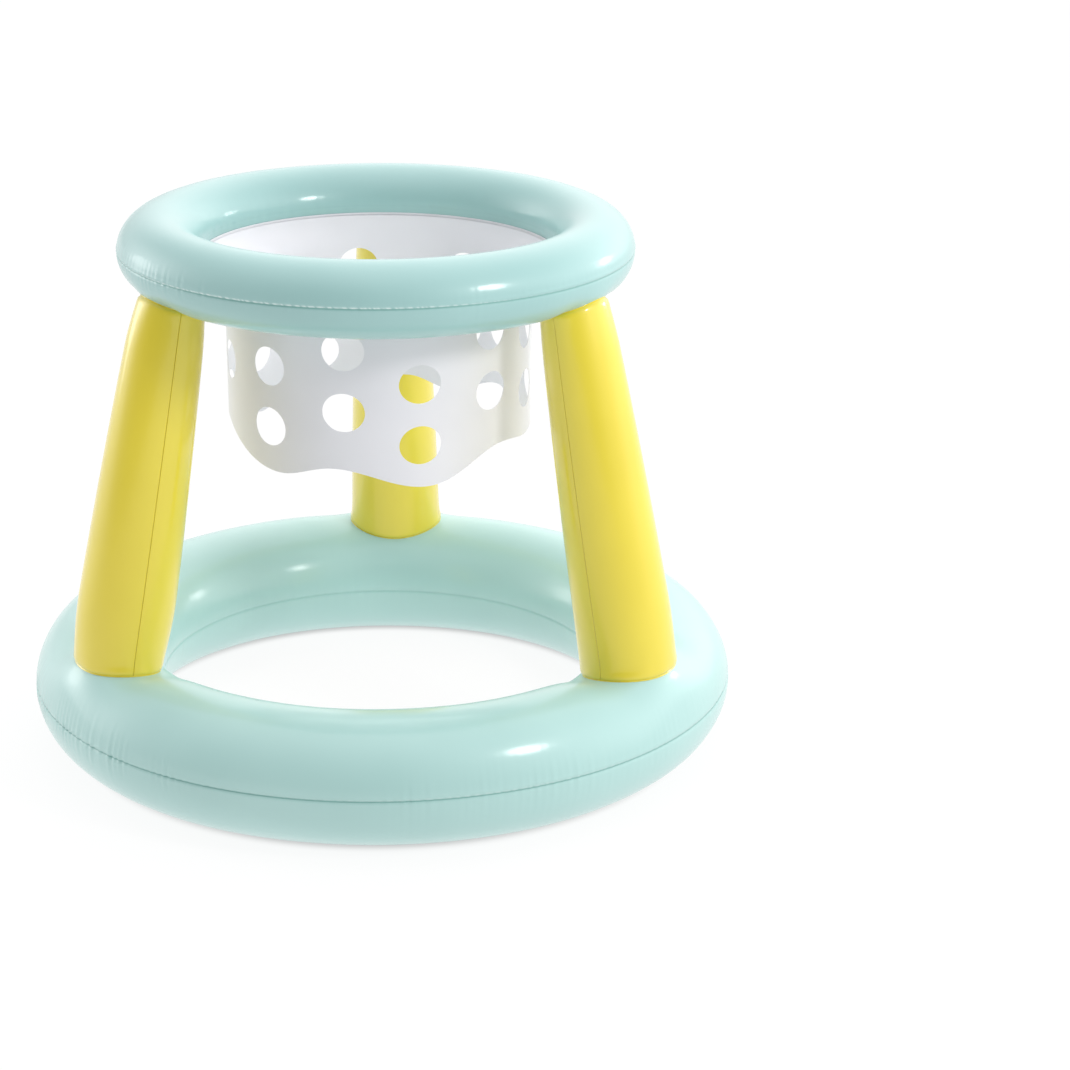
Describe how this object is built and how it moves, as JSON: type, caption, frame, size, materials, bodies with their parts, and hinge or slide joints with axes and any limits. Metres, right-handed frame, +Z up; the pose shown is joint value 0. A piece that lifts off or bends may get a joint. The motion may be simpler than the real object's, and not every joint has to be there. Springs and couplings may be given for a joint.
{
  "type": "inflatable basketball hoop",
  "caption": "Free-standing inflatable basketball hoop: a wide base ring, leaning legs, a hoop ring with a hanging holed net, and air valves with caps.",
  "frame": {"origin": "on the floor, at the bottom centre of the whole, on the upright axis of both rings", "axes": "+Z up, -Y towards the front, where the gap between the left and right legs is, +X to the right; the rear leg is on +Y"},
  "size_m": [0.6676, 0.6696, 0.5139],
  "materials": {
    "ring_film": "pale aqua glossy PVC film, blown up tight, with fine puckers at the weld seams",
    "leg_film": "lemon yellow glossy PVC film, slightly clear at its edges",
    "net_film": "white matt vinyl sheet",
    "valve_vinyl": "soft clear-white vinyl"
  },
  "bodies": {
    "inflatable": {"base_ring_upper_sheet": "ring_film", "base_ring_lower_sheet": "ring_film", "hoop_ring_upper_sheet": "ring_film", "hoop_ring_lower_sheet": "ring_film", "net_band": "net_film", "net_weld_strip": "net_film", "net_seam_tape": "net_film", "left_leg_outer_panel": "leg_film", "left_leg_inner_panel": "leg_film", "left_leg_foot_collar": "leg_film", "left_leg_head_collar": "leg_film", "right_leg_outer_panel": "leg_film", "right_leg_inner_panel": "leg_film", "right_leg_foot_collar": "leg_film", "right_leg_head_collar": "leg_film", "rear_leg_outer_panel": "leg_film", "rear_leg_inner_panel": "leg_film", "rear_leg_foot_collar": "leg_film", "rear_leg_head_collar": "leg_film", "base_valve_socket": "valve_vinyl", "hoop_valve_socket": "valve_vinyl"},
    "base_stem": {"base_valve_stem": "valve_vinyl"},
    "base_flap": {"base_valve_flap": "valve_vinyl"},
    "base_cap": {"base_valve_cap": "valve_vinyl"},
    "hoop_stem": {"hoop_valve_stem": "valve_vinyl"},
    "hoop_flap": {"hoop_valve_flap": "valve_vinyl"},
    "hoop_cap": {"hoop_valve_cap": "valve_vinyl"}
  },
  "joints": [
    {"name": "base_stem_slide", "type": "slide", "parent": "inflatable", "child": "base_stem", "axis": [0.409, 0.7692, 0.491], "range_m": [0, 0.01]},
    {"name": "base_flap_hinge", "type": "hinge", "parent": "base_stem", "child": "base_flap", "pos_m": [0.14065, 0.27773, 0.07976], "axis": [0.2305, 0.4335, -0.8712], "range_deg": [0, 60]},
    {"name": "base_cap_hinge", "type": "hinge", "parent": "base_stem", "child": "base_cap", "pos_m": [0.16231, 0.28738, 0.09029], "axis": [0.2305, 0.4335, -0.8712], "range_deg": [0, 150]},
    {"name": "hoop_stem_slide", "type": "slide", "parent": "inflatable", "child": "hoop_stem", "axis": [-0.4873, 0.7798, 0.393], "range_m": [0, 0.01]},
    {"name": "hoop_flap_hinge", "type": "hinge", "parent": "hoop_stem", "child": "hoop_flap", "pos_m": [-0.12209, 0.18369, 0.48533], "axis": [-0.2083, 0.3333, -0.9195], "range_deg": [0, 60]},
    {"name": "hoop_cap_hinge", "type": "hinge", "parent": "hoop_stem", "child": "hoop_cap", "pos_m": [-0.12016, 0.20815, 0.49376], "axis": [-0.2083, 0.3333, -0.9195], "range_deg": [0, 150]}
  ]
}
